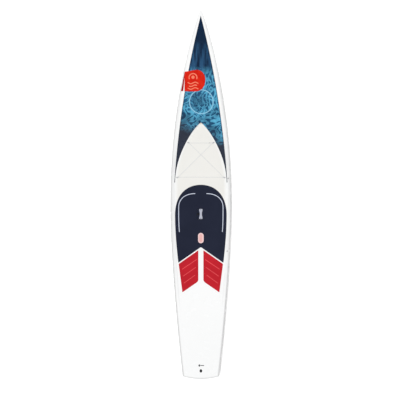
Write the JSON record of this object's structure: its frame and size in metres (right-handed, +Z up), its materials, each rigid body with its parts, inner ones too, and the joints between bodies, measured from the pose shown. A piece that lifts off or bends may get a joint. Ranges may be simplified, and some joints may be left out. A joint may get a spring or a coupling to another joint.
{
  "type": "stand up paddleboard",
  "caption": "Hard touring paddleboard with pointed nose and squared tail, recessed deck with foam pads, bungee, carry handle, leash plug and a sliding centre fin.",
  "frame": {"origin": "centre of the overall box at the ground: the board stands on its fin tip and its belly, as it is put down on a floor", "axes": "+Z up, +Y level towards the nose, +X to the right rail seen from behind; the deck leans nose-down by 4.72 degrees about X"},
  "size_m": [0.7106, 4.2694, 0.3291],
  "materials": {
    "hull_lacquer": "gloss",
    "core_foam": "matte",
    "block_foam": "matte",
    "stringer_wood": "matte",
    "navy_eva": "matte",
    "red_eva": "matte",
    "pale_eva": "matte",
    "black_plastic": "satin",
    "grip_plastic": "satin",
    "membrane": "matte",
    "grey_plastic": "satin",
    "steel": "satin",
    "brass_pin": "satin",
    "seal_rubber": "matte",
    "elastic_cord": "matte",
    "fin_composite": "gloss"
  },
  "bodies": {
    "board": {"deck_shell": "hull_lacquer", "bottom_shell": "hull_lacquer", "foam_core_left": "core_foam", "foam_core_right": "core_foam", "handle_block": "block_foam", "fin_box_block": "block_foam", "leash_block": "block_foam", "stringer": "stringer_wood", "main_deck_pad": "navy_eva", "kick_pad_left": "red_eva", "kick_pad_right": "red_eva", "pad_badge": "pale_eva", "handle_cup": "black_plastic", "vent_body": "black_plastic", "leash_cup": "black_plastic", "fin_box": "black_plastic", "handle_grip": "grip_plastic", "vent_membrane": "membrane", "bungee_front_left_insert": "grey_plastic", "bungee_front_right_insert": "grey_plastic", "bungee_rear_left_insert": "grey_plastic", "bungee_rear_right_insert": "grey_plastic", "strap_plug_front_insert": "grey_plastic", "strap_plug_rear_insert": "grey_plastic", "bungee_front_left_eye": "grey_plastic", "bungee_front_right_eye": "grey_plastic", "bungee_rear_left_eye": "grey_plastic", "bungee_rear_right_eye": "grey_plastic", "handle_screw_front": "steel", "handle_screw_rear": "steel", "bungee_front_left_screw": "steel", "bungee_front_right_screw": "steel", "bungee_rear_left_screw": "steel", "bungee_rear_right_screw": "steel", "strap_plug_front_screw": "steel", "strap_plug_rear_screw": "steel", "leash_pin": "steel", "bungee_ferrule": "steel", "bungee_cord": "elastic_cord"},
    "fin": {"fin": "fin_composite", "fin_roll_pin": "brass_pin", "fin_plate": "steel"},
    "fin_screw": {"fin_screw": "steel"},
    "vent_plug": {"vent_plug": "black_plastic", "vent_o_ring": "seal_rubber"}
  },
  "joints": [
    {"name": "fin_slide", "type": "slide", "parent": "board", "child": "fin", "axis": [0, 0.9927, -0.1202], "range_m": [-0.027, 0.027]},
    {"name": "fin_screw_turn", "type": "hinge", "parent": "fin", "child": "fin_screw", "pos_m": [0, -1.58025, 0.21064], "axis": [0, -0.1202, -0.9927], "continuous": true},
    {"name": "vent_plug_turn", "type": "hinge", "parent": "board", "child": "vent_plug", "pos_m": [-0.03, -0.21795, 0.18183], "axis": [0, 0.0823, 0.9966], "continuous": true}
  ]
}
